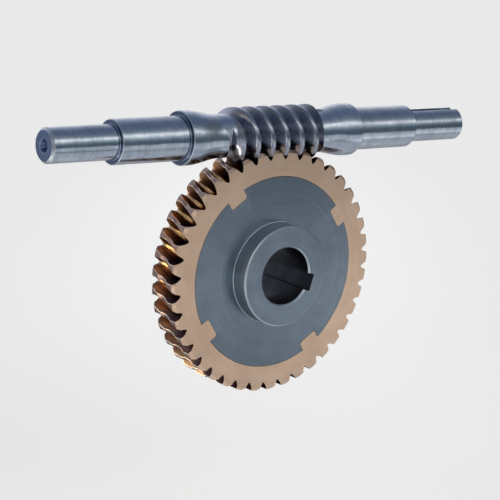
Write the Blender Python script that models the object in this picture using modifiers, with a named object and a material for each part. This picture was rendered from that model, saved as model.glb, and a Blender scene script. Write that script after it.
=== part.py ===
"""Worm gear set: a one-piece steel worm shaft in mesh with a bronze-rimmed worm wheel.

The origin is the wheel's centre, on its bore axis and in the middle of its face width.
The wheel turns about Y, the worm lies above it along X, and +Z is up. Everything is in metres.
"""

import math

import bmesh
import bpy
import numpy as np
from mathutils import Vector

# Gear data, shared by the worm and the wheel
MODULE = 0.006
STARTS = 2
WHEEL_TEETH = 40
PRESSURE_ANGLE = math.radians(20)
WORM_PITCH_RADIUS = 0.0225
TOOTH_CLEARANCE = 0.2 * MODULE
FLANK_GAP = 0.00025
THREAD_PHASE = 0.0084  # where a worm tooth's centre line passes the foot of the worm

AXIAL_PITCH = math.pi * MODULE
LEAD = STARTS * AXIAL_PITCH
WHEEL_PITCH_RADIUS = MODULE * WHEEL_TEETH / 2
CENTRE_DISTANCE = WORM_PITCH_RADIUS + WHEEL_PITCH_RADIUS
WORM_TIP_RADIUS = WORM_PITCH_RADIUS + MODULE
WORM_ROOT_RADIUS = WORM_PITCH_RADIUS - MODULE - TOOTH_CLEARANCE

# Worm shaft, as distances along X from the shaft's own middle
SHAFT_MIDDLE = -0.0085
SHAFT_HALF_LENGTH = 0.264
STUB_LENGTH = 0.075
JOURNAL_LENGTH = 0.080
COLLAR_LAND = 0.008
COLLAR_TAPER = 0.036
STUB_RADIUS = 0.0175
JOURNAL_RADIUS = 0.0225
COLLAR_RADIUS = 0.0275
NECK_RADIUS = 0.0223
THREAD_LEFT = -0.056
THREAD_RIGHT = 0.0455
THREAD_END_BEVEL = 0.005
GROOVE_LEFT = -0.0645  # where the grooves begin to run out, beyond the ends of the thread
GROOVE_RIGHT = 0.0515
GROOVE_RUN_OUT = 0.006
END_CHAMFER = 0.0025
SHOULDER_CHAMFER = 0.0008
CENTRE_HOLE_MOUTH = 0.0065
CENTRE_HOLE_PILOT = 0.0020
CENTRE_HOLE_PILOT_DEPTH = 0.0050
CENTRE_HOLE_SLOPE = math.tan(math.radians(30))
SHAFT_KEYWAY_WIDTH = 0.010
SHAFT_KEYWAY_DEPTH = 0.005
SHAFT_KEYWAY_START = 0.002  # from the journal's shoulder

# Worm wheel
FACE_WIDTH = 0.040
RIM_OUTER_RADIUS = 0.128
RIM_CHAMFER = 0.003
CENTRE_RADIUS = 0.101
LUG_COUNT = 4
LUG_ANGLE = math.radians(34)
LUG_WIDTH = 0.022
LUG_INNER_RADIUS = 0.091
LUG_CORNER = 0.0025
HUB_RADIUS = 0.053
HUB_LENGTH = 0.080
HUB_CHAMFER = 0.0015
BORE_RADIUS = 0.030
BORE_CHAMFER = 0.0018
HUB_KEYWAY_ANGLE = math.radians(-15.7)
HUB_KEYWAY_WIDTH = 0.018
HUB_KEYWAY_FLOOR = 0.036

# Fixed point in the right-hand centre hole
POINT_LENGTH = 0.0040

# Fit and fineness
PIECE_GAP = 0.0003
PAST = 0.004  # how far a cutter runs past what it cuts
SHAFT_STEPS = 36
WHEEL_STEPS = 72
TAPER_POINTS = 6
THREAD_STEP = math.radians(15)
FOOT_SHARE = 0.16  # the flat bottom of a tooth space is as wide as the space this far up
MIDDLE_SHARE = 0.55
ROLLING_SAMPLES = 801
ROLLING_ANGLE = math.radians(32)
MERGE = 0.00001


def clear_scene():
    for obj in list(bpy.data.objects):
        bpy.data.objects.remove(obj)


def new_collection(name):
    made = bpy.data.collections.new(name)
    bpy.context.scene.collection.children.link(made)
    return made


def metal(name, colour, roughness):
    made = bpy.data.materials.new(name)
    made.use_nodes = True
    shader = made.node_tree.nodes["Principled BSDF"]
    shader.inputs["Base Color"].default_value = (*colour, 1.0)
    shader.inputs["Metallic"].default_value = 1.0
    shader.inputs["Roughness"].default_value = roughness
    return made


def axis_empty(name, location, rotation, collection):
    """An empty whose Z lies along a turning axis. Pieces that turn together are parented to it."""
    made = bpy.data.objects.new(name, None)
    made.location = location
    made.rotation_euler = rotation
    made.empty_display_size = 0.05
    collection.objects.link(made)
    return made


def mesh_object(name, points, faces, collection, parent):
    mesh = bpy.data.meshes.new(name)
    mesh.from_pydata([tuple(point) for point in points], [], faces)
    made = bpy.data.objects.new(name, mesh)
    made.parent = parent
    collection.objects.link(made)
    return made


def face_outward(obj):
    shape = bmesh.new()
    shape.from_mesh(obj.data)
    bmesh.ops.recalc_face_normals(shape, faces=shape.faces)
    shape.to_mesh(obj.data)
    shape.free()


def shade(obj, material):
    obj.data.materials.append(material)
    obj.data.shade_smooth()
    obj.data.set_sharp_from_angle(angle=math.radians(30))


def turned(name, profile, steps, closed, collection, parent):
    """A shape turned about Z from (radius, height) points that run down its outer side."""
    mesh = bpy.data.meshes.new(name)
    edges = [(i, i + 1) for i in range(len(profile) - 1)]
    if closed:
        edges.append((len(profile) - 1, 0))
    mesh.from_pydata([(radius, 0.0, height) for radius, height in profile], edges, [])
    made = bpy.data.objects.new(name, mesh)
    made.parent = parent
    collection.objects.link(made)
    screw = made.modifiers.new("Turn", "SCREW")
    screw.steps = steps
    screw.render_steps = steps
    screw.use_merge_vertices = True
    screw.merge_threshold = MERGE
    return made


def loft(name, sections, collection, parent):
    """A closed solid through equal-sized closed sections, with a flat face at each end."""
    count = len(sections[0])
    faces = [tuple(range(count))]
    for section in range(len(sections) - 1):
        here = section * count
        for i in range(count):
            j = (i + 1) % count
            faces.append((here + i, here + j, here + count + j, here + count + i))
    faces.append(tuple(range((len(sections) - 1) * count, len(sections) * count)))
    points = [point for section in sections for point in section]
    made = mesh_object(name, points, faces, collection, parent)
    face_outward(made)
    return made


def block(name, low, high, angle, collection, parent):
    """A box between two corners, turned about Z by an angle."""
    shape = bmesh.new()
    bmesh.ops.create_cube(shape, size=1.0)
    size = Vector(high) - Vector(low)
    bmesh.ops.scale(shape, vec=size, verts=shape.verts)
    bmesh.ops.translate(shape, vec=(Vector(high) + Vector(low)) / 2, verts=shape.verts)
    mesh = bpy.data.meshes.new(name)
    shape.to_mesh(mesh)
    shape.free()
    made = bpy.data.objects.new(name, mesh)
    made.parent = parent
    made.rotation_euler = (0.0, 0.0, angle)
    collection.objects.link(made)
    return made


def round_upright_edges(obj, radius):
    bevel = obj.modifiers.new("Corner", "BEVEL")
    bevel.width = radius
    bevel.segments = 2
    bevel.limit_method = "WEIGHT"
    weights = obj.data.attributes.new("bevel_weight_edge", "FLOAT", "EDGE")
    for edge in obj.data.edges:
        start, end = (obj.data.vertices[i].co for i in edge.vertices)
        weights.data[edge.index].value = float(abs(start.z - end.z) > radius)


def cut(obj, cutter, solver="EXACT"):
    boolean = obj.modifiers.new(cutter.name, "BOOLEAN")
    boolean.operation = "DIFFERENCE"
    boolean.solver = solver
    boolean.object = cutter
    cutter.hide_render = True
    cutter.display_type = "WIRE"


def smooth_step(share):
    return share * share * (3 - 2 * share)


# ---- worm shaft ----


def centre_hole(end, inward):
    """Points of a sixty-degree centre hole at one end face, from its mouth to the axis."""
    cone_depth = (CENTRE_HOLE_MOUTH - CENTRE_HOLE_PILOT) / CENTRE_HOLE_SLOPE
    return [
        (CENTRE_HOLE_MOUTH, end),
        (CENTRE_HOLE_PILOT, end + inward * cone_depth),
        (CENTRE_HOLE_PILOT, end + inward * (cone_depth + CENTRE_HOLE_PILOT_DEPTH)),
        (0.0, end + inward * (cone_depth + CENTRE_HOLE_PILOT_DEPTH + CENTRE_HOLE_PILOT)),
    ]


def shaft_side(side, thread_end):
    """Points from one end of the shaft to the worm's tip: side is 1 on the right, -1 on the left."""
    end = SHAFT_MIDDLE + side * SHAFT_HALF_LENGTH
    journal = end - side * STUB_LENGTH
    collar = journal - side * JOURNAL_LENGTH
    land_end = collar - side * COLLAR_LAND
    points = list(reversed(centre_hole(end, -side)))
    points += [
        (STUB_RADIUS - END_CHAMFER, end),
        (STUB_RADIUS, end - side * END_CHAMFER),
        (STUB_RADIUS, journal),
        (JOURNAL_RADIUS - SHOULDER_CHAMFER, journal),
        (JOURNAL_RADIUS, journal - side * SHOULDER_CHAMFER),
        (JOURNAL_RADIUS, collar),
        (COLLAR_RADIUS - SHOULDER_CHAMFER, collar),
        (COLLAR_RADIUS, collar - side * SHOULDER_CHAMFER),
        (COLLAR_RADIUS, land_end),
    ]
    for i in range(1, TAPER_POINTS + 1):
        share = i / TAPER_POINTS
        drop = smooth_step(share) * (COLLAR_RADIUS - NECK_RADIUS)
        points.append((COLLAR_RADIUS - drop, land_end - side * share * COLLAR_TAPER))
    points += [
        (NECK_RADIUS, thread_end + side * THREAD_END_BEVEL),
        (WORM_TIP_RADIUS, thread_end),
    ]
    return points


def groove_half_width(radius):
    """Half the axial width of a thread groove whose sides are straight in the axial section."""
    return AXIAL_PITCH / 4 + (radius - WORM_PITCH_RADIUS) * math.tan(PRESSURE_ANGLE)


def groove_floor(along):
    """The groove's floor radius. It is level along the thread and rises at both ends."""
    past_end = max(GROOVE_LEFT - along, along - GROOVE_RIGHT, 0.0)
    rise = (NECK_RADIUS - WORM_ROOT_RADIUS + PIECE_GAP) * (past_end / GROOVE_RUN_OUT) ** 2
    return WORM_ROOT_RADIUS + rise


def thread_groove(start, collection, parent):
    """The cutter for one start's groove: its section swept along the helix."""
    past_tip = WORM_TIP_RADIUS + PAST / 2
    offset = THREAD_PHASE + AXIAL_PITCH * (start + 0.5)
    first = math.floor((GROOVE_LEFT - GROOVE_RUN_OUT - offset) / LEAD * math.tau / THREAD_STEP)
    last = math.ceil((GROOVE_RIGHT + GROOVE_RUN_OUT - offset) / LEAD * math.tau / THREAD_STEP)
    sections = []
    for step in range(first, last + 1):
        angle = step * THREAD_STEP
        middle = offset + LEAD * angle / math.tau
        floor = groove_floor(middle)
        section = []
        for radius, side in ((floor, -1), (floor, 1), (past_tip, 1), (past_tip, -1)):
            along = middle + side * groove_half_width(radius)
            section.append((radius * math.cos(angle), radius * math.sin(angle), along))
        sections.append(section)
    return loft(f"thread_groove_{start + 1}", sections, collection, parent)


def make_worm_shaft(parts, cutters, parent, material):
    profile = shaft_side(1, THREAD_RIGHT) + list(reversed(shaft_side(-1, THREAD_LEFT)))
    shaft = turned("worm_shaft", profile, SHAFT_STEPS, False, parts, parent)
    for start in range(STARTS):
        cut(shaft, thread_groove(start, cutters, parent), solver="MANIFOLD")
    end = SHAFT_MIDDLE + SHAFT_HALF_LENGTH
    keyway_start = end - STUB_LENGTH + SHAFT_KEYWAY_START
    keyway = block(
        "shaft_keyway",
        (STUB_RADIUS - SHAFT_KEYWAY_DEPTH, -SHAFT_KEYWAY_WIDTH / 2, keyway_start),
        (STUB_RADIUS + PAST, SHAFT_KEYWAY_WIDTH / 2, end + PAST),
        math.pi,
        cutters,
        parent,
    )
    cut(shaft, keyway)
    shade(shaft, material)
    return shaft


def make_fixed_point(parts, parent, material):
    """A small cone that stands still in the right-hand centre hole, clear of its walls."""
    mouth = SHAFT_MIDDLE + SHAFT_HALF_LENGTH
    wide = CENTRE_HOLE_MOUTH - PIECE_GAP / math.cos(math.radians(30))
    narrow = wide - POINT_LENGTH * CENTRE_HOLE_SLOPE
    profile = [(0.0, mouth), (wide, mouth), (narrow, mouth - POINT_LENGTH), (0.0, mouth - POINT_LENGTH)]
    point = turned("fixed_centre_point", profile, SHAFT_STEPS, False, parts, parent)
    shade(point, material)
    return point


# ---- worm wheel ----


def rim_tip_radius(across):
    """The rim's radius at a distance from the middle plane: throat, outer land, edge chamfer."""
    throat_radius = WORM_ROOT_RADIUS + TOOTH_CLEARANCE
    height = math.sqrt(max(throat_radius**2 - across**2, 0.0))
    outer = RIM_OUTER_RADIUS - max(0.0, abs(across) - FACE_WIDTH / 2 + RIM_CHAMFER)
    return min(CENTRE_DISTANCE - height, outer)


def space_edge(radius, across, side):
    """The angle, from the wheel's top towards +X, of one edge of the tooth space at a radius.

    The worm's section in a plane across its thread acts as a rack that rolls on the wheel, so the
    edge is the furthest place that the rack's flank reaches at this radius.
    """
    hob_radius = WORM_TIP_RADIUS + TOOTH_CLEARANCE
    deepest = CENTRE_DISTANCE - math.sqrt(hob_radius**2 - across**2)
    widest = min(ROLLING_ANGLE, math.acos(min(1.0, deepest / radius)))
    rolled = np.linspace(-widest, widest, ROLLING_SAMPLES)
    below_worm = CENTRE_DISTANCE - radius * np.cos(rolled)
    from_worm = np.hypot(below_worm, across)
    half_tooth = AXIAL_PITCH / 4 - (from_worm - WORM_PITCH_RADIUS) * math.tan(PRESSURE_ANGLE)
    lean = LEAD / math.tau * np.arctan2(across, below_worm)
    flank = THREAD_PHASE + lean + side * (half_tooth + FLANK_GAP)
    angles = rolled - (radius * np.sin(rolled) - flank) / WHEEL_PITCH_RADIUS
    return float(angles.max() if side > 0 else angles.min())


def rim_section(across):
    """One closed outline of the toothed rim, in the plane at a distance from the middle plane."""
    hob_radius = WORM_TIP_RADIUS + TOOTH_CLEARANCE
    tip = rim_tip_radius(across)
    bottom = CENTRE_DISTANCE - math.sqrt(hob_radius**2 - across**2)
    depth = tip - bottom
    foot = bottom + FOOT_SHARE * depth
    middle = bottom + MIDDLE_SHARE * depth
    levels = [(bottom, foot), (middle, middle), (tip, tip)]
    space = [(radius, space_edge(met, across, -1)) for radius, met in reversed(levels)]
    space += [(radius, space_edge(met, across, 1)) for radius, met in levels]
    outline = []
    for tooth in range(WHEEL_TEETH):
        turn = math.tau * tooth / WHEEL_TEETH
        for radius, angle in space:
            x = radius * math.sin(angle + turn)
            y = -radius * math.cos(angle + turn)
            outline.append((x, y, across))
    return outline


def rim_places():
    """Distances from the middle plane at which the rim's outline is worked out."""
    throat_radius = WORM_ROOT_RADIUS + TOOTH_CLEARANCE
    land = math.sqrt(throat_radius**2 - (CENTRE_DISTANCE - RIM_OUTER_RADIUS) ** 2)
    face = FACE_WIDTH / 2
    chamfer = face - RIM_CHAMFER
    half = [land / 2, land, (land + chamfer) / 2, chamfer, face]
    return [-place for place in reversed(half)] + [0.0] + half


def lug_blocks(name, width, inner_radius, collection, parent):
    blocks = []
    for lug in range(LUG_COUNT):
        made = block(
            f"{name}_{lug + 1}",
            (inner_radius, -width / 2, -HUB_LENGTH),
            (CENTRE_RADIUS + 2 * PAST, width / 2, HUB_LENGTH),
            -(LUG_ANGLE + math.tau * lug / LUG_COUNT),
            collection,
            parent,
        )
        round_upright_edges(made, LUG_CORNER)
        blocks.append(made)
    return blocks


def make_bronze_ring(parts, cutters, parent, material):
    ring = loft("bronze_ring", [rim_section(place) for place in rim_places()], parts, parent)
    half = FACE_WIDTH / 2 + PAST
    profile = [(0.0, half), (CENTRE_RADIUS, half), (CENTRE_RADIUS, -half), (0.0, -half)]
    opening = turned("ring_opening", profile, WHEEL_STEPS, False, cutters, parent)
    for lug in lug_blocks("ring_lug", LUG_WIDTH, LUG_INNER_RADIUS, cutters, parent):
        cut(opening, lug)
    cut(ring, opening)
    shade(ring, material)
    return ring


def make_wheel_centre(parts, cutters, parent, material):
    boss = HUB_LENGTH / 2
    face = FACE_WIDTH / 2
    rim = CENTRE_RADIUS - PIECE_GAP
    upper = [
        (BORE_RADIUS + BORE_CHAMFER, boss),
        (HUB_RADIUS - HUB_CHAMFER, boss),
        (HUB_RADIUS, boss - HUB_CHAMFER),
        (HUB_RADIUS, face),
        (rim, face),
    ]
    profile = [(BORE_RADIUS, boss - BORE_CHAMFER)] + upper
    profile += [(radius, -height) for radius, height in reversed(profile)]
    centre = turned("wheel_centre", profile, WHEEL_STEPS, True, parts, parent)
    socket_width = LUG_WIDTH + 2 * PIECE_GAP
    socket_inner = LUG_INNER_RADIUS - PIECE_GAP
    for socket in lug_blocks("lug_socket", socket_width, socket_inner, cutters, parent):
        cut(centre, socket)
    keyway = block(
        "hub_keyway",
        (0.0, -HUB_KEYWAY_WIDTH / 2, -HUB_LENGTH),
        (HUB_KEYWAY_FLOOR, HUB_KEYWAY_WIDTH / 2, HUB_LENGTH),
        -HUB_KEYWAY_ANGLE,
        cutters,
        parent,
    )
    cut(centre, keyway)
    shade(centre, material)
    return centre


def main():
    clear_scene()
    parts = new_collection("worm_gear_set")
    cutters = new_collection("cutters")
    cutters.hide_render = True
    worm_axis = axis_empty(
        "worm_axis", (0.0, 0.0, CENTRE_DISTANCE), (0.0, math.pi / 2, 0.0), parts
    )
    wheel_axis = axis_empty("wheel_axis", (0.0, 0.0, 0.0), (-math.pi / 2, 0.0, 0.0), parts)
    shaft_steel = metal("shaft_steel", (0.50, 0.53, 0.57), 0.28)
    centre_steel = metal("centre_steel", (0.38, 0.42, 0.47), 0.38)
    bronze = metal("bronze", (0.66, 0.46, 0.30), 0.32)
    point_steel = metal("point_steel", (0.30, 0.31, 0.33), 0.35)
    make_worm_shaft(parts, cutters, worm_axis, shaft_steel)
    make_fixed_point(parts, worm_axis, point_steel)
    make_bronze_ring(parts, cutters, wheel_axis, bronze)
    make_wheel_centre(parts, cutters, wheel_axis, centre_steel)


main()
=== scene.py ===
import math

import bmesh
import bpy
import numpy as np
from mathutils import Matrix, Vector


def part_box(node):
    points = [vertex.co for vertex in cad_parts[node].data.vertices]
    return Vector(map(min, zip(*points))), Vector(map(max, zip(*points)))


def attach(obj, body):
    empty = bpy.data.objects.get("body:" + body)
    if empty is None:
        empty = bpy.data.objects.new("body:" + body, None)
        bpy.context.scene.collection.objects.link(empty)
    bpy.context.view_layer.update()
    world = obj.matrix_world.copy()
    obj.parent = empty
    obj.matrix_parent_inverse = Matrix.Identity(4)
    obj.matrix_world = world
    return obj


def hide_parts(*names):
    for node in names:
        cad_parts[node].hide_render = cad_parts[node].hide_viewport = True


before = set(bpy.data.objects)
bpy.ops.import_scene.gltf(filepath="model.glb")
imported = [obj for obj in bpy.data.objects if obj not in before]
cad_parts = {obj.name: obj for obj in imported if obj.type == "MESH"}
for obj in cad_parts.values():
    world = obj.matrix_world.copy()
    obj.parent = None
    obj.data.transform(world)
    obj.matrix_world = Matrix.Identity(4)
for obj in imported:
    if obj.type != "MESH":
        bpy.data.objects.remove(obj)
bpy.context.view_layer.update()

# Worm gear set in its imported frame, in metres: the wheel's axis is Y through the origin, and the
# worm lies above it along X.

# ---- gear data ----
MODULE = 0.006
WHEEL_TEETH = 40
PRESSURE_ANGLE = math.radians(20)
WORM_PITCH_RADIUS = 0.0225
TOOTH_CLEARANCE = 0.2 * MODULE
FLANK_GAP = 0.00025
THREAD_PHASE = 0.0084  # where a worm tooth's centre line passes the foot of the worm
AXIAL_PITCH = math.pi * MODULE
STARTS = 2
LEAD = STARTS * AXIAL_PITCH
WHEEL_PITCH_RADIUS = MODULE * WHEEL_TEETH / 2
CENTRE_DISTANCE = WORM_PITCH_RADIUS + WHEEL_PITCH_RADIUS
WORM_TIP_RADIUS = WORM_PITCH_RADIUS + MODULE
WORM_ROOT_RADIUS = WORM_PITCH_RADIUS - MODULE - TOOTH_CLEARANCE
ROOT_ROUNDING = 0.0014
TIP_EASE = 0.00050
WORM_TIP_EASE = 0.00050

# ---- worm shaft ----
SHAFT_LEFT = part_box("worm_shaft")[0].x
SHAFT_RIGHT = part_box("worm_shaft")[1].x
STUB_LENGTH = 0.075
JOURNAL_LENGTH = 0.080
COLLAR_LAND = 0.008
COLLAR_TAPER = 0.036
STUB_RADIUS = 0.0175
JOURNAL_RADIUS = 0.0225
COLLAR_RADIUS = 0.0275
NECK_RADIUS = 0.0223
THREAD_LEFT = -0.056
THREAD_RIGHT = 0.0455
THREAD_END_BEVEL = 0.005
GROOVE_LEFT = -0.0645
GROOVE_RIGHT = 0.0515
GROOVE_RUN_OUT = 0.006
END_CHAMFER = 0.0025
SHOULDER_CHAMFER = 0.0008
SHOULDER_FILLET = 0.0008
EDGE_EASE = 0.00025
HOLE_MOUTH = 0.0065
HOLE_PILOT = 0.0020
HOLE_PILOT_DEPTH = 0.0050
HOLE_ANGLE = math.radians(30)
HOLE_SLOPE = math.tan(HOLE_ANGLE)
HOLE_PILOT_EASE = 0.0001
HOLE_MOUTH_EASE = 0.0002
KEYWAY_WIDTH = 0.010
KEYWAY_DEPTH = 0.005
KEYWAY_START = 0.002
KEYWAY_EASE = 0.0004

# ---- worm wheel ----
FACE_WIDTH = 0.040
RIM_OUTER_RADIUS = 0.128
RIM_CHAMFER = 0.003
MOUTH_DEPTH = 0.0016  # how much deeper the tooth spaces open at the two faces
MOUTH_START = 0.4  # where they start to, as a share of the way to a face
CENTRE_RADIUS = 0.101
LUG_COUNT = 4
LUG_ANGLE = math.radians(34)
LUG_WIDTH = 0.022
LUG_INNER_RADIUS = 0.091
LUG_CORNER = 0.0025
HUB_RADIUS = 0.053
HUB_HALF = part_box("wheel_centre")[1].y
HUB_CHAMFER = 0.0015
HUB_FILLET = 0.0012
BORE_RADIUS = 0.030
BORE_CHAMFER = 0.0018
HUB_KEYWAY_ANGLE = math.radians(-15.7)
HUB_KEYWAY_WIDTH = 0.018
HUB_KEYWAY_FLOOR = 0.036

# ---- fixed point ----
POINT_LENGTH = 0.0040

# ---- fineness ----
PIECE_GAP = 0.0003
PAST = 0.004  # how far a cutter runs past what it cuts
WELD_DISTANCE = 1e-7
CUT_WELD_DISTANCE = 2e-7
SLIVER_SIZE = 1e-6
ON_AXIS = 1e-9
SHARP_ANGLE = math.radians(28)
TURN_STEPS = 288
POINT_STEPS = 96
FLOOR_STEPS = 96
TAPER_POINTS = 20
ARC_POINTS = 5
EASE_SHARE = 0.49  # the most of an outline's edge that an eased corner takes
ROOT_STEPS = 6
THREAD_STEP = math.radians(3)
FLANK_SHARES = (0.35, 0.7, 1.0)  # up a groove's flank, from its rounded root to its eased crest
CREST_ROLL = ((0.55, 0.35), (1.0, 0.95), (1.5, 2.0))  # over the crest's ease: outward, aside
SPACE_SHARES = (0.0, 0.015, 0.05, 0.10, 0.17, 0.30, 0.45, 0.62, 0.8, 1.0)  # up a tooth space
TIP_ROLL = (0.3, 0.4)  # a point on a wheel tooth's eased edge: below the tip, aside
LAND_SHARES = (1 / 3, 2 / 3)
THROAT_SLICES = 12
OUTER_SHARES = (0.25, 0.5, 0.75, 1.0)
CHAMFER_SHARES = (0.04, 0.25, 0.5, 0.75, 0.96, 1.0)
ROLLING_SAMPLES = 801
ROLLING_ANGLE = math.radians(32)


# ---- mesh helpers ----


def mesh_object(name, points, faces):
    mesh = bpy.data.meshes.new(name)
    mesh.from_pydata([tuple(point) for point in points], [], faces)
    made = bpy.data.objects.new(name, mesh)
    bpy.context.scene.collection.objects.link(made)
    return made


def tidy_mesh(obj):
    """Welds doubled points and turns every face outward."""
    shape = bmesh.new()
    shape.from_mesh(obj.data)
    bmesh.ops.remove_doubles(shape, verts=shape.verts, dist=WELD_DISTANCE)
    bmesh.ops.recalc_face_normals(shape, faces=shape.faces)
    shape.to_mesh(obj.data)
    shape.free()


def loft(name, sections):
    """A solid through equal-sized closed sections, capped at both ends."""
    count = len(sections[0])
    faces = []
    for section in range(len(sections) - 1):
        here = section * count
        there = here + count
        for i in range(count):
            j = (i + 1) % count
            faces.append((here + i, here + j, there + j, there + i))
    faces.append(tuple(range(count)))
    faces.append(tuple(range((len(sections) - 1) * count, len(sections) * count)))
    made = mesh_object(name, [point for section in sections for point in section], faces)
    tidy_mesh(made)
    return made


def prism(name, outline, low, high):
    """A closed outline, a function of the third coordinate, carried from low to high."""
    return loft(name, [outline(low), outline(high)])


def worm_point(radius, angle, along):
    return (along, radius * math.sin(angle), CENTRE_DISTANCE - radius * math.cos(angle))


def wheel_point(radius, angle, across):
    return (radius * math.sin(angle), across, radius * math.cos(angle))


def turned(name, profile, place, ring=False, steps=TURN_STEPS):
    """A shape turned from (along, radius) points. A ring's profile is a closed loop."""
    angles = [math.tau * step / steps for step in range(steps)]
    points = []
    rows = []
    for along, radius in profile:
        if radius < ON_AXIS:
            rows.append([len(points)] * steps)
            points.append(place(0.0, 0.0, along))
        else:
            rows.append(list(range(len(points), len(points) + steps)))
            points += [place(radius, angle, along) for angle in angles]
    if ring:
        rows.append(rows[0])
    faces = []
    for here, there in zip(rows, rows[1:]):
        for i in range(steps):
            j = (i + 1) % steps
            corners = [here[i], here[j], there[j], there[i]]
            faces.append(tuple(dict.fromkeys(corners)))
    made = mesh_object(name, points, faces)
    tidy_mesh(made)
    return made


def round_corners(corners):
    """(along, radius, ease) corners as (along, radius) points, with a small arc at each."""
    points = []
    for i, (along, radius, ease) in enumerate(corners):
        here = Vector((along, radius))
        if ease == 0 or i == 0 or i == len(corners) - 1:
            points.append(tuple(here))
            continue
        back = Vector(corners[i - 1][:2]) - here
        onward = Vector(corners[i + 1][:2]) - here
        size = min(ease, EASE_SHARE * back.length, EASE_SHARE * onward.length)
        first = here + back.normalized() * size
        last = here + onward.normalized() * size
        for step in range(ARC_POINTS + 1):
            t = step / ARC_POINTS
            arc = first * (1 - t) ** 2 + here * 2 * t * (1 - t) + last * t**2
            points.append(tuple(arc))
    return points


def drop_slivers(mesh):
    """Takes out the faces without any area, and the folded flaps, that a cut can leave."""
    shape = bmesh.new()
    shape.from_mesh(mesh)
    bmesh.ops.remove_doubles(shape, verts=shape.verts, dist=CUT_WELD_DISTANCE)
    bmesh.ops.dissolve_degenerate(shape, edges=shape.edges, dist=SLIVER_SIZE)
    bmesh.ops.triangulate(shape, faces=[face for face in shape.faces if len(face.verts) > 4])
    twins = {}
    for face in shape.faces:
        twins.setdefault(frozenset(corner.index for corner in face.verts), []).append(face)
    flaps = [face for same in twins.values() if len(same) > 1 for face in same]
    bmesh.ops.delete(shape, geom=flaps, context="FACES")
    shape.to_mesh(mesh)
    shape.free()


def cut(obj, *cutters):
    """Takes the cutters out of obj for good, then removes them."""
    for cutter in cutters:
        boolean = obj.modifiers.new(cutter.name, "BOOLEAN")
        boolean.operation = "DIFFERENCE"
        boolean.solver = "MANIFOLD"
        boolean.object = cutter
    shape = obj.evaluated_get(bpy.context.evaluated_depsgraph_get())
    mesh = bpy.data.meshes.new_from_object(shape)
    obj.modifiers.clear()
    obj.data = mesh
    drop_slivers(mesh)
    for cutter in cutters:
        bpy.data.objects.remove(cutter)


def smooth_by_angle(obj):
    obj.data.shade_smooth()
    obj.data.set_sharp_from_angle(angle=SHARP_ANGLE)


def smooth_step(share):
    return share * share * (3 - 2 * share)


# ---- worm shaft ----


def centre_hole(end, inward):
    cone = (HOLE_MOUTH - HOLE_PILOT) / HOLE_SLOPE
    return [
        (end + inward * (cone + HOLE_PILOT_DEPTH + HOLE_PILOT * HOLE_SLOPE), 0.0, 0),
        (end + inward * (cone + HOLE_PILOT_DEPTH), HOLE_PILOT, 0),
        (end + inward * cone, HOLE_PILOT, HOLE_PILOT_EASE),
        (end, HOLE_MOUTH, HOLE_MOUTH_EASE),
    ]


def shaft_side(side, end, thread_end):
    """Corners from one end of the shaft to the worm's tip: side is 1 on the right."""
    journal = end - side * STUB_LENGTH
    collar = journal - side * JOURNAL_LENGTH
    land_end = collar - side * COLLAR_LAND
    ease = EDGE_EASE
    corners = centre_hole(end, -side)
    corners += [
        (end, STUB_RADIUS - END_CHAMFER, ease),
        (end - side * END_CHAMFER, STUB_RADIUS, ease),
    ]
    steps = ((journal, STUB_RADIUS, JOURNAL_RADIUS), (collar, JOURNAL_RADIUS, COLLAR_RADIUS))
    for place, below, above in steps:
        corners += [
            (place, below, SHOULDER_FILLET),
            (place, above - SHOULDER_CHAMFER, ease),
            (place - side * SHOULDER_CHAMFER, above, ease),
        ]
    corners.append((land_end, COLLAR_RADIUS, 0))
    for i in range(1, TAPER_POINTS + 1):
        share = i / TAPER_POINTS
        drop = smooth_step(share) * (COLLAR_RADIUS - NECK_RADIUS)
        corners.append((land_end - side * share * COLLAR_TAPER, COLLAR_RADIUS - drop, 0))
    corners += [
        (thread_end + side * THREAD_END_BEVEL, NECK_RADIUS, 2 * ease),
        (thread_end, WORM_TIP_RADIUS, ease),
    ]
    return corners


def groove_half_width(radius):
    return AXIAL_PITCH / 4 + (radius - WORM_PITCH_RADIUS) * math.tan(PRESSURE_ANGLE)


def groove_floor(along):
    past_end = max(GROOVE_LEFT - along, along - GROOVE_RIGHT, 0.0)
    rise = (NECK_RADIUS - WORM_ROOT_RADIUS + PIECE_GAP) * (past_end / GROOVE_RUN_OUT) ** 2
    return WORM_ROOT_RADIUS + rise


def groove_half_section(floor):
    """(radius, half width) points from the floor's middle, round its corner and up the flank."""
    slope = math.tan(PRESSURE_ANGLE)
    middle = groove_half_width(floor) + ROOT_ROUNDING * (slope - 1 / math.cos(PRESSURE_ANGLE))
    points = [(floor, middle / 2)]
    for step in range(ROOT_STEPS + 1):
        turn = (math.pi / 2 - PRESSURE_ANGLE) * step / ROOT_STEPS
        rise = ROOT_ROUNDING * (1 - math.cos(turn))
        points.append((floor + rise, middle + ROOT_ROUNDING * math.sin(turn)))
    eased = WORM_TIP_RADIUS - WORM_TIP_EASE
    start = points[-1][0]
    for share in FLANK_SHARES:
        radius = start + share * (eased - start)
        points.append((radius, groove_half_width(radius)))
    for outward, aside in CREST_ROLL:
        radius = eased + outward * WORM_TIP_EASE
        points.append((radius, groove_half_width(eased) + aside * WORM_TIP_EASE))
    points.append((WORM_TIP_RADIUS + PAST / 2, groove_half_width(eased) + 3 * WORM_TIP_EASE))
    return points


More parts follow.
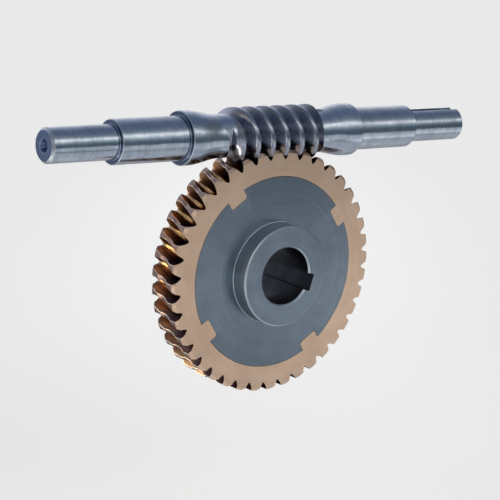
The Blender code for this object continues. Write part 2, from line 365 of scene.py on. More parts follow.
def thread_groove(start):
    offset = THREAD_PHASE + AXIAL_PITCH * (start + 0.5)
    first = math.floor((GROOVE_LEFT - GROOVE_RUN_OUT - offset) / LEAD * math.tau / THREAD_STEP)
    last = math.ceil((GROOVE_RIGHT + GROOVE_RUN_OUT - offset) / LEAD * math.tau / THREAD_STEP)
    sections = []
    for step in range(first, last + 1):
        angle = step * THREAD_STEP
        middle = offset + LEAD * angle / math.tau
        half = groove_half_section(groove_floor(middle))
        section = [worm_point(radius, angle, middle - aside) for radius, aside in reversed(half)]
        section += [worm_point(radius, angle, middle + aside) for radius, aside in half]
        sections.append(section)
    return loft(f"thread_groove_{start + 1}", sections)


def shaft_keyway():
    """The open keyway on top of the right-hand stub, with eased upper edges."""
    half = KEYWAY_WIDTH / 2
    floor = CENTRE_DISTANCE + STUB_RADIUS - KEYWAY_DEPTH
    edge = CENTRE_DISTANCE + math.sqrt(STUB_RADIUS**2 - half**2)
    ease = KEYWAY_EASE
    right = [
        (half - ease, floor),
        (half, floor + ease),
        (half, edge - ease),
        (half + 3 * ease, edge + 2 * ease),
        (half + 3 * ease, edge + PAST),
    ]
    outline = right + [(-across, up) for across, up in reversed(right)]
    start = SHAFT_RIGHT - STUB_LENGTH + KEYWAY_START
    return prism(
        "shaft_keyway",
        lambda along: [(along, across, up) for across, up in outline],
        start,
        SHAFT_RIGHT + PAST,
    )


def make_worm_shaft():
    corners = shaft_side(-1, SHAFT_LEFT, THREAD_LEFT)
    corners += list(reversed(shaft_side(1, SHAFT_RIGHT, THREAD_RIGHT)))
    shaft = turned("worm_shaft_detail", round_corners(corners), worm_point)
    cut(shaft, *[thread_groove(start) for start in range(STARTS)])
    cut(shaft, shaft_keyway())
    smooth_by_angle(shaft)
    return shaft


# ---- bronze ring ----


def rim_tip_radius(across):
    throat_radius = WORM_ROOT_RADIUS + TOOTH_CLEARANCE
    height = math.sqrt(max(throat_radius**2 - across**2, 0.0))
    outer = RIM_OUTER_RADIUS - max(0.0, abs(across) - FACE_WIDTH / 2 + RIM_CHAMFER)
    return min(CENTRE_DISTANCE - height, outer)


def hob_half_tooth(from_worm):
    """Half the width of the hob's tooth at a distance from its axis, with a rounded tip corner."""
    straight = AXIAL_PITCH / 4 - (from_worm - WORM_PITCH_RADIUS) * math.tan(PRESSURE_ANGLE)
    hob_radius = WORM_TIP_RADIUS + TOOTH_CLEARANCE
    centre = hob_radius - ROOT_ROUNDING
    at_centre = AXIAL_PITCH / 4 - (centre - WORM_PITCH_RADIUS) * math.tan(PRESSURE_ANGLE)
    middle = at_centre - ROOT_ROUNDING / math.cos(PRESSURE_ANGLE)
    reach = np.clip(from_worm - centre, 0.0, ROOT_ROUNDING)
    rounded = middle + np.sqrt(ROOT_ROUNDING**2 - reach**2)
    tangent = centre + ROOT_ROUNDING * math.sin(PRESSURE_ANGLE)
    return np.where(from_worm > tangent, rounded, straight)


def space_edge(radius, across, side):
    """The angle from the wheel's top of one edge of a tooth space, rolled out by the hob."""
    hob_radius = WORM_TIP_RADIUS + TOOTH_CLEARANCE
    deepest = CENTRE_DISTANCE - math.sqrt(hob_radius**2 - across**2)
    widest = min(ROLLING_ANGLE, math.acos(min(1.0, deepest / radius)))
    rolled = np.linspace(-widest, widest, ROLLING_SAMPLES)
    below_worm = CENTRE_DISTANCE - radius * np.cos(rolled)
    from_worm = np.hypot(below_worm, across)
    lean = LEAD / math.tau * np.arctan2(across, below_worm)
    flank = THREAD_PHASE + lean + side * (hob_half_tooth(from_worm) + FLANK_GAP)
    angles = rolled - (radius * np.sin(rolled) - flank) / WHEEL_PITCH_RADIUS
    return float(angles.max() if side > 0 else angles.min())


def rim_section(across):
    """One closed outline of the toothed rim, in the plane at a distance from the middle."""
    hob_radius = WORM_TIP_RADIUS + TOOTH_CLEARANCE
    tip = rim_tip_radius(across)
    bottom = CENTRE_DISTANCE - math.sqrt(hob_radius**2 - across**2)
    past_start = max(0.0, 2 * abs(across) / FACE_WIDTH - MOUTH_START)
    bottom -= MOUTH_DEPTH * smooth_step(past_start / (1 - MOUTH_START))
    eased = tip - TIP_EASE
    levels = [bottom + share * (eased - bottom) for share in SPACE_SHARES]
    half = {}
    for side in (-1, 1):
        edge = [(radius, space_edge(radius, across, side)) for radius in levels]
        reach = edge[-1][1]
        edge.append((tip - TIP_ROLL[0] * TIP_EASE, reach + side * TIP_ROLL[1] * TIP_EASE / tip))
        edge.append((tip, reach + side * TIP_EASE / tip))
        half[side] = edge
    space = list(reversed(half[-1])) + half[1]
    outline = []
    for tooth in range(WHEEL_TEETH):
        turn = math.tau * tooth / WHEEL_TEETH
        outline += [wheel_point(radius, angle + turn, across) for radius, angle in space]
        land = space[-1][1], space[0][1] + math.tau / WHEEL_TEETH
        for share in LAND_SHARES:
            outline.append(wheel_point(tip, turn + land[0] + share * (land[1] - land[0]), across))
    return outline


def rim_places():
    """Planes across the rim, closest together near its two faces and its edge chamfers."""
    half = FACE_WIDTH / 2
    chamfer = half - RIM_CHAMFER
    throat_radius = WORM_ROOT_RADIUS + TOOTH_CLEARANCE
    land = math.sqrt(throat_radius**2 - (CENTRE_DISTANCE - RIM_OUTER_RADIUS) ** 2)
    turns = [math.pi / 2 * step / THROAT_SLICES for step in range(THROAT_SLICES + 1)]
    inner = [land * math.sin(turn) for turn in turns]
    outer = [land + (chamfer - land) * share for share in OUTER_SHARES]
    edge = [chamfer + RIM_CHAMFER * share for share in CHAMFER_SHARES]
    places = inner + outer + edge
    return [-place for place in reversed(places[1:])] + places


def lug_outline(angle, width, inner_radius, outer_radius, corner):
    """A lug's outline in the wheel's plane, as (x, z), with its two inner corners rounded."""
    along = Vector((math.cos(angle), math.sin(angle)))
    aside = Vector((-math.sin(angle), math.cos(angle)))
    half = width / 2
    points = [along * outer_radius - aside * half]
    for side in (-1, 1):
        centre = along * (inner_radius + corner) + aside * side * (half - corner)
        for step in range(ARC_POINTS + 2):
            turn = math.pi / 2 * step / (ARC_POINTS + 1)
            if side > 0:
                turn = math.pi / 2 - turn
            over = aside * side * corner * math.cos(turn)
            points.append(centre + over - along * corner * math.sin(turn))
    points.append(along * outer_radius + aside * half)
    return points


def lug_prisms(name, width, inner_radius):
    made = []
    for lug in range(LUG_COUNT):
        angle = LUG_ANGLE + math.tau * lug / LUG_COUNT
        outline = lug_outline(angle, width, inner_radius, CENTRE_RADIUS + 2 * PAST, LUG_CORNER)
        made.append(
            prism(
                f"{name}_{lug + 1}",
                lambda across, outline=outline: [(p.x, across, p.y) for p in outline],
                -HUB_HALF - PAST,
                HUB_HALF + PAST,
            )
        )
    return made


def make_bronze_ring():
    ring = loft("bronze_ring_detail", [rim_section(place) for place in rim_places()])
    half = FACE_WIDTH / 2
    ease = EDGE_EASE
    profile = [
        (-half - PAST, 0.0),
        (-half - PAST, CENTRE_RADIUS + ease + PAST),
        (-half + ease, CENTRE_RADIUS),
        (half - ease, CENTRE_RADIUS),
        (half + PAST, CENTRE_RADIUS + ease + PAST),
        (half + PAST, 0.0),
    ]
    opening = turned("ring_opening", profile, wheel_point)
    cut(opening, *lug_prisms("ring_lug", LUG_WIDTH, LUG_INNER_RADIUS))
    cut(ring, opening)
    smooth_by_angle(ring)
    return ring


# ---- wheel centre ----


def hub_keyway():
    along = Vector((math.cos(HUB_KEYWAY_ANGLE), math.sin(HUB_KEYWAY_ANGLE)))
    aside = Vector((-math.sin(HUB_KEYWAY_ANGLE), math.cos(HUB_KEYWAY_ANGLE)))
    half = HUB_KEYWAY_WIDTH / 2
    ease = KEYWAY_EASE
    right = [(0.0, half), (HUB_KEYWAY_FLOOR - ease, half), (HUB_KEYWAY_FLOOR, half - ease)]
    corners = right + [(out, -over) for out, over in reversed(right)]
    outline = [along * out + aside * over for out, over in corners]
    return prism(
        "hub_keyway",
        lambda across: [(p.x, across, p.y) for p in outline],
        -HUB_HALF - PAST,
        HUB_HALF + PAST,
    )


def make_wheel_centre():
    face = FACE_WIDTH / 2
    rim = CENTRE_RADIUS - PIECE_GAP
    ease = EDGE_EASE
    upper = [
        (HUB_HALF - BORE_CHAMFER, BORE_RADIUS, ease),
        (HUB_HALF, BORE_RADIUS + BORE_CHAMFER, ease),
        (HUB_HALF, HUB_RADIUS - HUB_CHAMFER, ease),
        (HUB_HALF - HUB_CHAMFER, HUB_RADIUS, ease),
        (face, HUB_RADIUS, HUB_FILLET),
        (face, rim, ease),
    ]
    corners = upper + [(-across, radius, size) for across, radius, size in reversed(upper)]
    profile = round_corners([corners[-1]] + corners + [corners[0]])[1:-1]
    centre = turned("wheel_centre_detail", profile, wheel_point, ring=True)
    cut(centre, *lug_prisms("lug_socket", LUG_WIDTH + 2 * PIECE_GAP, LUG_INNER_RADIUS - PIECE_GAP))
    cut(centre, hub_keyway())
    smooth_by_angle(centre)
    return centre


def make_fixed_point():
    wide = HOLE_MOUTH - PIECE_GAP / math.cos(HOLE_ANGLE)
    narrow = wide - POINT_LENGTH * HOLE_SLOPE
    corners = [
        (SHAFT_RIGHT, 0.0, 0),
        (SHAFT_RIGHT, wide, EDGE_EASE),
        (SHAFT_RIGHT - POINT_LENGTH, narrow, EDGE_EASE),
        (SHAFT_RIGHT - POINT_LENGTH, 0.0, 0),
    ]
    point = turned("centre_point_detail", round_corners(corners), worm_point, steps=POINT_STEPS)
    smooth_by_angle(point)
    return point


# ---- materials ----

# Ranges of a noise's values, and how much each kind of mark shows.
MOST_NOISE = (0.3, 0.7)
CLOUDS_FROM = (0.42, 0.66)
RINGS_FROM = (0.25, 0.75)
SPOTS_FROM = (0.55, 0.75)
DULL_FROM = (0.55, 0.8)
CLOUD_SHARE = 0.75
SPOT_SHARE = 0.30
SPOT_SCALE = 160.0
SPOT_DEPTH = 0.00002
SPOT_STRENGTH = 0.35
DULL_SPOTS = 0.06
RING_GLOSS = (-0.02, 0.03)
FINE_BREAKS = 14.0
BROAD_RINGS = 6
BROAD_BREAKS = 9.0
BROAD_DEPTH = 1.5
BROAD_STRENGTH = 0.6
EDGE_RAGGED = 0.2


class Look:
    """A node material under construction."""

    def __init__(self, name):
        self.material = bpy.data.materials.new(name)
        self.material.use_nodes = True
        self.tree = self.material.node_tree
        self.shader = self.tree.nodes["Principled BSDF"]
        self.place = self.node("ShaderNodeTexCoord").outputs["Object"]

    def node(self, kind, inputs=None, **settings):
        made = self.tree.nodes.new(kind)
        for name, value in settings.items():
            setattr(made, name, value)
        for name, value in (inputs or {}).items():
            if isinstance(value, bpy.types.NodeSocket):
                self.tree.links.new(value, made.inputs[name])
            else:
                made.inputs[name].default_value = value
        return made

    def maths(self, operation, first, second=0.0):
        return self.node("ShaderNodeMath", {0: first, 1: second}, operation=operation).outputs[0]

    def noise(self, place, scale, detail=3.0, rough=0.55):
        """Noise at a scale: a number, or three numbers for a stretched grain."""
        if isinstance(scale, tuple):
            place = self.node("ShaderNodeMapping", {"Vector": place, "Scale": scale}).outputs[0]
            scale = 1.0
        made = self.node(
            "ShaderNodeTexNoise",
            {"Vector": place, "Scale": scale, "Detail": detail, "Roughness": rough},
        )
        return made.outputs[0]

    def spread(self, value, low, high, to_low, to_high):
        ends = {"From Min": low, "From Max": high, "To Min": to_low, "To Max": to_high}
        return self.node("ShaderNodeMapRange", {"Value": value, **ends}).outputs[0]

    def blend(self, share, first, second):
        made = self.node("ShaderNodeMix", data_type="RGBA")
        for socket, value in ((0, share), (6, first), (7, second)):
            if isinstance(value, bpy.types.NodeSocket):
                self.tree.links.new(value, made.inputs[socket])
            elif socket:
                made.inputs[socket].default_value = (*value, 1.0)
            else:
                made.inputs[socket].default_value = value
        return made.outputs[2]

    def bump(self, height, distance, strength=1.0, below=None):
        inputs = {"Height": height, "Distance": distance, "Strength": strength}
        if below is not None:
            inputs["Normal"] = below
        return self.node("ShaderNodeBump", inputs).outputs[0]

    def link(self, value, socket):
        self.tree.links.new(value, self.shader.inputs[socket])

    def around_axis(self, axis, centre):
        """Distance from an axis, place along it and the two offsets across it."""
        parts = self.node("ShaderNodeSeparateXYZ", {0: self.place}).outputs
        along = parts["XYZ".index(axis)]
        aside = [parts[i] for i in range(3) if "XYZ"[i] != axis]
        first = self.maths("SUBTRACT", aside[0], centre[0])
        second = self.maths("SUBTRACT", aside[1], centre[1])
        squares = [self.maths("MULTIPLY", part, part) for part in (first, second)]
        radius = self.maths("SQRT", self.maths("ADD", *squares))
        return radius, along, first, second


def turned_metal(name, axis, tones, rough, marks, anisotropy=0.0, edge=None):
    """Machined metal with fine rings round an axis, smudges and a worn tone here and there, and,
    given edge, painted shade that darkens it toward the front face.
    """
    look = Look(name)
    radius, along, first, second = look.around_axis(*axis)
    slow = look.maths("ADD", first, second)
    position = look.node("ShaderNodeCombineXYZ", {0: radius, 1: along, 2: slow}).outputs[0]
    pitch = 1.0 / marks["pitch"]
    wide_pitch = pitch / BROAD_RINGS
    fine = look.noise(position, (pitch, pitch, FINE_BREAKS), detail=2.0, rough=0.6)
    broad_scale = (wide_pitch, wide_pitch, BROAD_BREAKS)
    broad = look.noise(position, broad_scale, detail=2.0, rough=0.5)
    cloud = look.noise(look.place, marks["cloud"], detail=5.0, rough=0.65)
    spots = look.noise(look.place, SPOT_SCALE, detail=3.0, rough=0.7)
    shade = look.blend(look.spread(broad, *MOST_NOISE, 0.0, 1.0), tones[0], tones[1])
    shade = look.blend(look.spread(cloud, *CLOUDS_FROM, 0.0, CLOUD_SHARE), shade, tones[2])
    shade = look.blend(look.spread(fine, *RINGS_FROM, 0.0, marks["contrast"]), shade, tones[3])
    shade = look.blend(look.spread(spots, *SPOTS_FROM, 0.0, SPOT_SHARE), shade, tones[2])
    # Painted shade: the tone darkens toward the front face, where the light falls off along the
    # flank.
    if edge is not None:
        toward_front = look.maths("MULTIPLY", along, -1.0)
        outward = look.spread(toward_front, edge["near"], edge["far"], 0.0, 1.0)
        ragged = look.spread(cloud, *MOST_NOISE, -EDGE_RAGGED, EDGE_RAGGED)
        shade = look.blend(look.maths("ADD", outward, ragged), shade, edge["tone"])
        look.shader.inputs["Specular Tint"].default_value = (*edge["grazing"], 1.0)
    look.link(shade, "Base Color")
    dull = look.spread(spots, *DULL_FROM, 0.0, DULL_SPOTS)
    gloss = look.maths("ADD", look.spread(cloud, *MOST_NOISE, rough[0], rough[1]), dull)
    look.link(look.maths("ADD", gloss, look.spread(fine, *MOST_NOISE, *RING_GLOSS)), "Roughness")
    relief = look.bump(fine, marks["depth"])
    relief = look.bump(broad, marks["depth"] * BROAD_DEPTH, BROAD_STRENGTH, relief)
    relief = look.bump(spots, SPOT_DEPTH, SPOT_STRENGTH, relief)
    waves = look.noise(look.place, marks["wave"], detail=2.0, rough=0.5)
    relief = look.bump(waves, marks["wave_depth"], 1.0, relief)
    look.link(relief, "Normal")
    look.shader.inputs["Metallic"].default_value = 1.0
    look.shader.inputs["Anisotropic"].default_value = anisotropy
    return look.material


# An axis's letter, and its place in the other two coordinates.
WORM_AXIS = ("X", (0.0, CENTRE_DISTANCE))
WHEEL_AXIS = ("Y", (0.0, 0.0))

# Each metal has a base tone, a broad change, a smudge and a bright ring.
SHAFT_TONES = (
    (0.39, 0.445, 0.525), (0.47, 0.525, 0.605), (0.25, 0.305, 0.375), (0.58, 0.63, 0.695),
)
# Painted shade: the shaft's shoulder faces painted dark blue.
SHOULDER_SHADE_TONES = (
    (0.060, 0.090, 0.17), (0.085, 0.12, 0.21), (0.040, 0.065, 0.13), (0.14, 0.18, 0.28),
)
# Painted shade: the thread's steel painted darker than the shaft's, for the shade and dark
# reflections in its grooves.
THREAD_SHADE_TONES = (
    (0.32, 0.34, 0.41), (0.38, 0.40, 0.48), (0.25, 0.28, 0.33), (0.46, 0.48, 0.55),
)
DISC_TONES = (
    (0.20, 0.245, 0.295), (0.24, 0.29, 0.34), (0.18, 0.215, 0.26), (0.29, 0.34, 0.39),
)
FACE_TONES = (
    (0.78, 0.53, 0.37), (0.84, 0.59, 0.42), (0.70, 0.46, 0.31), (0.90, 0.67, 0.51),
)
# Painted shade: the bronze of the tooth flanks painted dark brown, far darker than the faces.
TOOTH_SHADE_TONES = (
    (0.29, 0.165, 0.10), (0.36, 0.215, 0.135), (0.20, 0.11, 0.07), (0.46, 0.31, 0.21),
)
# Painted shade: the bronze of the tooth tip lands painted dark mauve brown.
LAND_SHADE_TONES = (
    (0.21, 0.145, 0.14), (0.27, 0.19, 0.18), (0.15, 0.10, 0.10), (0.40, 0.30, 0.27),
)
# Painted highlight: the teeth's eased tip edges painted pale cream.
RIDGE_HIGHLIGHT_TONES = (
    (0.78, 0.66, 0.55), (0.84, 0.73, 0.62), (0.70, 0.56, 0.44), (0.88, 0.78, 0.68),
)
# Painted glint: the roots of the tooth spaces painted bright gold.
ROOT_GLINT_TONES = (
    (0.74, 0.44, 0.16), (0.82, 0.52, 0.22), (0.60, 0.33, 0.11), (0.88, 0.64, 0.34),
)
# Painted shade: the shaft's end faces and centre-hole cones painted dark blue.
END_SHADE_TONES = (
    (0.065, 0.105, 0.22), (0.095, 0.14, 0.27), (0.045, 0.075, 0.16), (0.15, 0.20, 0.34),
)
# Painted shade: bores, keyways and centre-hole pilots painted near black.
BORE_SHADE_TONES = (
    (0.016, 0.019, 0.028), (0.024, 0.028, 0.040), (0.012, 0.014, 0.021), (0.04, 0.045, 0.06),
)
# Painted highlight: the shaft's chamfers painted pale steel.
CHAMFER_HIGHLIGHT_TONES = (
    (0.46, 0.51, 0.58), (0.52, 0.57, 0.64), (0.36, 0.41, 0.48), (0.62, 0.67, 0.73),
)
# Painted highlight: the hub's and bore's chamfers and the boss's fillet painted pale steel.
BOSS_EDGE_HIGHLIGHT_TONES = (
    (0.44, 0.50, 0.55), (0.50, 0.56, 0.61), (0.38, 0.43, 0.48), (0.56, 0.62, 0.67),
)
# Painted light: the boss's side painted lighter than the disc.
BOSS_LIT_TONES = (
    (0.30, 0.35, 0.40), (0.35, 0.40, 0.45), (0.25, 0.29, 0.34), (0.42, 0.47, 0.52),
)
POINT_TONES = (
    (0.28, 0.30, 0.33), (0.33, 0.35, 0.38), (0.24, 0.26, 0.29), (0.38, 0.40, 0.43),
)

# Marks of a way of machining: sizes of the clouds and waves, the rings' pitch, depth and contrast.
GROUND = {
    "cloud": 48.0,
    "pitch": 0.0009,
    "depth": 0.0000035,
    "contrast": 0.42,
    "wave": 75.0,
    "wave_depth": 0.00025,
}
CUT = {
    "cloud": 60.0,
    "pitch": 0.0007,
    "depth": 0.000006,
    "contrast": 0.35,
    "wave": 140.0,
    "wave_depth": 0.00006,
}
FACED = {
    "cloud": 22.0,
    "pitch": 0.0008,
    "depth": 0.000009,
    "contrast": 0.40,
    "wave": 90.0,
    "wave_depth": 0.00004,
}
# Painted shade over a tooth toward its front face, where the light falls off: from and to where,
# its dark painted-shade tone and its grazing tone.
TOOTH_FRONT_SHADE = {
    "near": -0.012,
    "far": 0.010,
    "tone": (0.050, 0.033, 0.038),
    "grazing": (0.22, 0.15, 0.13),
}
# Painted shade over a root toward its front face, as for the teeth.
ROOT_FRONT_SHADE = {
    "near": -0.006,
    "far": 0.008,
    "tone": (0.070, 0.038, 0.034),
    "grazing": (0.24, 0.14, 0.10),
}


LOOKS = {
    "shaft": ("ground_shaft_steel", WORM_AXIS, SHAFT_TONES, (0.17, 0.24), GROUND, 0.25),
    "thread": ("ground_thread_steel", WORM_AXIS, THREAD_SHADE_TONES, (0.20, 0.30), CUT),
    "disc": ("turned_centre_steel", WHEEL_AXIS, DISC_TONES, (0.30, 0.40), FACED),
    "face": ("turned_bronze_face", WHEEL_AXIS, FACE_TONES, (0.32, 0.42), FACED),
    "tooth": ("hobbed_bronze_tooth", WHEEL_AXIS, TOOTH_SHADE_TONES, (0.30, 0.40), CUT, 0.0, TOOTH_FRONT_SHADE),
    "land": ("worn_tooth_land", WHEEL_AXIS, LAND_SHADE_TONES, (0.30, 0.40), CUT),
    "edge": ("bright_tooth_edge", WHEEL_AXIS, RIDGE_HIGHLIGHT_TONES, (0.22, 0.30), CUT),
    "root": ("bright_tooth_root", WHEEL_AXIS, ROOT_GLINT_TONES, (0.26, 0.36), CUT, 0.0, ROOT_FRONT_SHADE),
    "end": ("faced_shaft_end", WORM_AXIS, END_SHADE_TONES, (0.30, 0.40), FACED),
    "shoulder": ("faced_shoulder", WORM_AXIS, SHOULDER_SHADE_TONES, (0.24, 0.34), FACED),
    "bright": ("bright_steel_edge", WORM_AXIS, CHAMFER_HIGHLIGHT_TONES, (0.30, 0.38), CUT),
    "rim": ("bright_boss_edge", WHEEL_AXIS, BOSS_EDGE_HIGHLIGHT_TONES, (0.34, 0.42), GROUND),
    "boss": ("turned_boss_side", WHEEL_AXIS, BOSS_LIT_TONES, (0.40, 0.50), FACED),
    "bore": ("dark_bore_steel", WHEEL_AXIS, BORE_SHADE_TONES, (0.35, 0.45), GROUND),
    "point": ("ground_point_steel", WORM_AXIS, POINT_TONES, (0.22, 0.30), GROUND),
}


def make_looks():
    return {use: turned_metal(*look) for use, look in LOOKS.items()}


def paint(obj, looks, names, choose):
    """Gives each face one of the named looks, by its middle and its normal."""
    obj.data.materials.clear()
    for name in names:
        obj.data.materials.append(looks[name])
    for face in obj.data.polygons:
        face.material_index = names.index(choose(face.center, face.normal))


SHAFT_LOOKS = ("shaft", "thread", "end", "bright", "bore", "shoulder")
CENTRE_LOOKS = ("disc", "bore", "rim", "boss")
RING_LOOKS = ("face", "tooth", "land", "edge", "root")
POINT_LOOKS = ("point",)
# How square a face stands to its axis, as its normal's part along it: from 0, round the axis, to 1.
SQUARE_ON = 0.9
SHAFT_CHAMFER_FROM = 0.4
NECK_UNDER = 0.2
TAPER_UNDER = 0.25
BOSS_EDGE_FROM = 0.25
BOSS_EDGE_TO = 0.95
KEYWAY_UNDER = 0.3
RIM_CHAMFER_FROM = 0.5
# The same for its normal's part in the plane through the wheel's axis, near 1 on lands and roots.
LAND_FROM = 0.98
ROOT_FROM = 0.88
# Shares of a size, and distances, within which a face's middle belongs to it.
JUST_PAST = 1.1
AT_TIP = 0.1
THREAD_SPAN = 0.03  # past the grooves, where faces square to the axis are shoulders
GROOVE_SPAN = 0.016  # past the grooves, where all is ground
ON_SURFACE = 0.0002
NEAR_BOSS = 0.001
PAST_KEYWAY = 0.003


def shaft_surface(middle, normal):
    """Ground seats, the thread in painted shade, faced ends and shoulders in painted shade, edges
    with a painted highlight and centre holes in painted shade.
    """
    radius = math.hypot(middle.y, middle.z - CENTRE_DISTANCE)
    steep = abs(normal.x)
    past_thread = not GROOVE_LEFT - THREAD_SPAN < middle.x < GROOVE_RIGHT + THREAD_SPAN
    if radius < JUST_PAST * HOLE_PILOT:
        return "bore"
    if radius < HOLE_MOUTH or past_thread and steep > SQUARE_ON:
        return "end" if radius < STUB_RADIUS else "shoulder"
    if past_thread and steep > SHAFT_CHAMFER_FROM and radius > STUB_RADIUS - END_CHAMFER:
        return "bright"
    on_neck = abs(radius - NECK_RADIUS) < ON_SURFACE and steep < NECK_UNDER
    outside = not GROOVE_LEFT - GROOVE_SPAN < middle.x < GROOVE_RIGHT + GROOVE_SPAN
    beyond = not THREAD_LEFT - THREAD_END_BEVEL < middle.x < THREAD_RIGHT + THREAD_END_BEVEL
    on_taper = beyond and radius > NECK_RADIUS - ON_SURFACE and steep < TAPER_UNDER
    return "shaft" if outside or on_neck or on_taper else "thread"


def centre_surface(middle, normal):
    """The turned disc and faces, the boss's side in painted light, its edges with a painted
    highlight and the bore with its keyway in painted shade.
    """
    radius = math.hypot(middle.x, middle.z)
    steep = abs(normal.y)
    if steep < BOSS_EDGE_FROM and abs(radius - HUB_RADIUS) < NEAR_BOSS:
        return "boss"
    if BOSS_EDGE_FROM < steep < BOSS_EDGE_TO and radius < HUB_RADIUS + HUB_FILLET:
        return "rim"
    inward = normal.x * middle.x + normal.z * middle.z < 0
    in_keyway = radius < HUB_KEYWAY_FLOOR + PAST_KEYWAY and steep < KEYWAY_UNDER
    return "bore" if in_keyway and (inward or radius > BORE_RADIUS) else "disc"


def ring_surface(middle, normal):
    """The turned faces, and the teeth's flanks and tip lands in painted shade, eased edges with a
    painted highlight and roots with a painted glint.
    """
    radius = math.hypot(middle.x, middle.z)
    steep = abs(normal.y)
    if steep > SQUARE_ON or radius < CENTRE_RADIUS + 2 * PIECE_GAP:
        return "face"
    if abs(middle.y) > FACE_WIDTH / 2 - RIM_CHAMFER and steep > RIM_CHAMFER_FROM:
        return "face"
    below_tip = rim_tip_radius(middle.y) - radius
    outward = math.hypot((normal.x * middle.x + normal.z * middle.z) / radius, normal.y)
    if below_tip < JUST_PAST * TIP_EASE:
        on_land = below_tip < AT_TIP * TIP_EASE or outward > LAND_FROM
        return "land" if on_land else "edge"
    return "root" if outward > ROOT_FROM else "tooth"


# ---- scene ----


def make_floor():
    """A wide pale floor, well below the part, which hangs free as in its housing, with a painted
    pool of light near the part.
    """
    turns = [math.tau * step / FLOOR_STEPS for step in range(FLOOR_STEPS)]
    around = [(FLOOR_RADIUS * math.cos(turn), FLOOR_RADIUS * math.sin(turn)) for turn in turns]
    rim = [(x, y, FLOOR_Z) for x, y in around]
    floor = mesh_object("studio_floor", rim, [tuple(range(FLOOR_STEPS))])
    look = Look("pale_floor")
    grain = look.spread(look.noise(look.place, FLOOR_GRAIN), *MOST_NOISE, 0.0, 1.0)
    tone = look.blend(grain, FLOOR_TONE, FLOOR_TONE_2)
    # Painted light: the floor's tone and glow brighten in a pool of light near the part.
    pool_of_light_mapping = {"Vector": look.place, "Location": POOL_OF_LIGHT_PLACE, "Rotation": (0.0, 0.0, POOL_OF_LIGHT_TURN)}
    place = look.node("ShaderNodeMapping", pool_of_light_mapping, vector_type="TEXTURE").outputs[0]
    scaled = {0: place, 1: POOL_OF_LIGHT_SHAPE}
    reach = look.node("ShaderNodeVectorMath", scaled, operation="MULTIPLY").outputs[0]
    away = look.node("ShaderNodeVectorMath", {0: reach}, operation="LENGTH").outputs["Value"]
    near = look.node(
        "ShaderNodeMapRange",
        {"Value": away, "From Min": 0.0, "From Max": 1.0, "To Min": 1.0, "To Max": 0.0},
        interpolation_type="SMOOTHSTEP",
    ).outputs[0]
    tone = look.blend(near, tone, POOL_OF_LIGHT_TONE)
    look.link(tone, "Base Color")
    look.link(tone, "Emission Color")
    look.shader.inputs["Emission Strength"].default_value = FLOOR_GLOW
    look.shader.inputs["Roughness"].default_value = FLOOR_ROUGHNESS
    look.shader.inputs["Specular IOR Level"].default_value = 0.0
    floor.data.materials.append(look.material)
    floor.visible_glossy = False


FLOOR_Z = -0.30
FLOOR_RADIUS = 14.0
FLOOR_GRAIN = 3.0
FLOOR_ROUGHNESS = 0.9
FLOOR_TONE = (0.79, 0.770, 0.725)
FLOOR_TONE_2 = (0.795, 0.775, 0.73)
FLOOR_GLOW = 0.62
# A painted pool of light on the floor near the part: its place, turn, shape and tone.
POOL_OF_LIGHT_PLACE = (0.93, 1.18, FLOOR_Z)
POOL_OF_LIGHT_TURN = math.radians(-38.0)
POOL_OF_LIGHT_SHAPE = (2.1, 0.55, 0.0)
POOL_OF_LIGHT_TONE = (0.875, 0.853, 0.803)

# The studio as seen round the worm's axis: degrees above the front horizon, and its colour.
STUDIO = (
    (-180, (0.60, 0.60, 0.60)), (-150, (0.42, 0.42, 0.43)), (-118, (0.50, 0.50, 0.52)),
    (-98, (0.72, 0.72, 0.75)), (-70, (0.64, 0.65, 0.69)), (-47, (0.58, 0.61, 0.65)),
    (-34, (0.05, 0.08, 0.11)), (-23, (0.03, 0.05, 0.07)), (-13, (0.10, 0.13, 0.17)),
    (-5, (0.10, 0.13, 0.17)), (6, (0.15, 0.20, 0.24)), (15, (0.32, 0.40, 0.44)),
    (25, (0.80, 0.83, 0.84)), (32, (1.75, 1.70, 1.62)), (38, (1.5, 1.45, 1.40)),
    (47, (0.36, 0.42, 0.47)), (58, (0.24, 0.29, 0.35)), (75, (0.16, 0.20, 0.29)),
    (97, (0.16, 0.20, 0.30)), (110, (0.22, 0.27, 0.36)), (124, (0.36, 0.41, 0.50)),
    (142, (0.66, 0.68, 0.78)), (163, (1.05, 1.02, 1.06)), (180, (0.85, 0.84, 0.87)),
)
STUDIO_SIDES = (0.15, 0.17, 0.18)
CAMERA_SEES = 0.815
SIDES_FROM = 0.70
SIDES_FULL = 0.90

# Soft panels that show in the metal: name, place, aim, size, power and colour.
PANELS = (
    ("front_panel", (0.54, -0.71, -0.26), (0.0, -0.02, -0.26), (1.30, 0.40), 1.08, (1.0, 1.0, 1.0)),
    ("near_panel", (-0.54, -0.71, -0.26), (0.0, -0.02, -0.16), (0.9, 0.5), 1.4, (1.0, 1.0, 1.0)),
    ("left_panel", (-1.15, 0.30, -0.30), (0.0, 0.0, 0.0), (0.7, 1.3), 11.0, (1.0, 0.88, 0.68)),
)


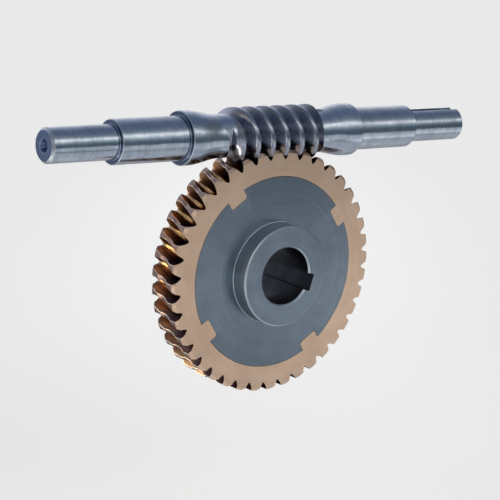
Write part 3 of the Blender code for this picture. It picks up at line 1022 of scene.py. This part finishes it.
def make_world():
    """Pale to the camera. In reflections a dark front and ceiling, a soft strip and a pale back."""
    world = bpy.data.worlds.new("studio")
    bpy.context.scene.world = world
    world.use_nodes = True
    tree = world.node_tree
    tree.nodes.clear()
    add = tree.nodes.new
    link = tree.links.new
    place = add("ShaderNodeTexCoord").outputs["Generated"]
    parts = add("ShaderNodeSeparateXYZ")
    link(place, parts.inputs[0])
    front = add("ShaderNodeMath")
    front.operation = "MULTIPLY"
    front.inputs[1].default_value = -1.0
    link(parts.outputs[1], front.inputs[0])
    turn = add("ShaderNodeMath")
    turn.operation = "ARCTAN2"
    link(parts.outputs[2], turn.inputs[0])
    link(front.outputs[0], turn.inputs[1])
    share = add("ShaderNodeMapRange")
    share.inputs["From Min"].default_value = -math.pi
    share.inputs["From Max"].default_value = math.pi
    link(turn.outputs[0], share.inputs["Value"])
    ramp = add("ShaderNodeValToRGB")
    while len(ramp.color_ramp.elements) < len(STUDIO):
        ramp.color_ramp.elements.new(0.5)
    for i, (degrees, colour) in enumerate(STUDIO):
        ramp.color_ramp.elements[i].position = (degrees + 180) / 360
        ramp.color_ramp.elements[i].color = (*colour, 1.0)
    link(share.outputs[0], ramp.inputs[0])
    seen = add("ShaderNodeBackground")
    seen.inputs[0].default_value = (CAMERA_SEES, CAMERA_SEES, CAMERA_SEES, 1.0)
    studio = add("ShaderNodeBackground")
    side = add("ShaderNodeMath")
    side.operation = "ABSOLUTE"
    link(parts.outputs[0], side.inputs[0])
    far = add("ShaderNodeMapRange")
    far.interpolation_type = "SMOOTHSTEP"
    far.inputs["From Min"].default_value = SIDES_FROM
    far.inputs["From Max"].default_value = SIDES_FULL
    link(side.outputs[0], far.inputs["Value"])
    tone = add("ShaderNodeMix")
    tone.data_type = "RGBA"
    link(far.outputs[0], tone.inputs[0])
    link(ramp.outputs[0], tone.inputs[6])
    tone.inputs[7].default_value = (*STUDIO_SIDES, 1.0)
    link(tone.outputs[2], studio.inputs[0])
    path = add("ShaderNodeLightPath")
    mix = add("ShaderNodeMixShader")
    link(path.outputs["Is Camera Ray"], mix.inputs[0])
    link(studio.outputs[0], mix.inputs[1])
    link(seen.outputs[0], mix.inputs[2])
    out = add("ShaderNodeOutputWorld")
    link(mix.outputs[0], out.inputs[0])


CAMERA_AZIMUTH = math.radians(-38.205)
CAMERA_ELEVATION = math.radians(12.720)
CAMERA_ROLL = math.radians(3.952)
CAMERA_DISTANCE = 1.9327
CAMERA_ASIDE = (0.01307, -0.01865)
CAMERA_LENS = 133.36
CAMERA_SENSOR = 36.0
CAMERA_CLIP_END = 100.0


def make_camera():
    back = Vector((
        math.sin(CAMERA_AZIMUTH) * math.cos(CAMERA_ELEVATION),
        -math.cos(CAMERA_AZIMUTH) * math.cos(CAMERA_ELEVATION),
        math.sin(CAMERA_ELEVATION),
    ))
    level = Vector((math.cos(CAMERA_AZIMUTH), math.sin(CAMERA_AZIMUTH), 0.0))
    above = back.cross(level)
    right = level * math.cos(CAMERA_ROLL) + above * math.sin(CAMERA_ROLL)
    up = above * math.cos(CAMERA_ROLL) - level * math.sin(CAMERA_ROLL)
    place = back * CAMERA_DISTANCE - right * CAMERA_ASIDE[0] - up * CAMERA_ASIDE[1]
    data = bpy.data.cameras.new("studio_camera")
    data.lens = CAMERA_LENS
    data.sensor_width = CAMERA_SENSOR
    data.clip_end = CAMERA_CLIP_END
    data.dof.use_dof = False
    camera = bpy.data.objects.new("studio_camera", data)
    axes = Matrix((right, up, back)).transposed()
    camera.matrix_world = Matrix.Translation(place) @ axes.to_4x4()
    bpy.context.scene.collection.objects.link(camera)
    bpy.context.scene.camera = camera


def soft_light(name, place, target, size, power, colour):
    """A soft panel that shows in the metal but leaves the pale floor even."""
    data = bpy.data.lights.new(name, "AREA")
    data.shape = "RECTANGLE"
    data.size, data.size_y = size
    data.energy = power
    data.color = colour
    light = bpy.data.objects.new(name, data)
    light.location = place
    aim = Vector(target) - Vector(place)
    light.rotation_euler = aim.to_track_quat("-Z", "Y").to_euler()
    light.visible_diffuse = False
    bpy.context.scene.collection.objects.link(light)


def main():
    bpy.context.scene.view_settings.view_transform = "Standard"
    looks = make_looks()
    shaft = make_worm_shaft()
    paint(shaft, looks, SHAFT_LOOKS, shaft_surface)
    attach(shaft, "worm")
    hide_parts("worm_shaft")
    ring = make_bronze_ring()
    paint(ring, looks, RING_LOOKS, ring_surface)
    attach(ring, "wheel")
    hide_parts("bronze_ring")
    centre = make_wheel_centre()
    paint(centre, looks, CENTRE_LOOKS, centre_surface)
    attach(centre, "wheel")
    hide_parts("wheel_centre")
    point = make_fixed_point()
    paint(point, looks, POINT_LOOKS, lambda middle, normal: "point")
    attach(point, "fixed_base")
    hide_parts("fixed_centre_point")
    make_floor()
    make_world()
    for panel in PANELS:
        soft_light(*panel)
    make_camera()


main()
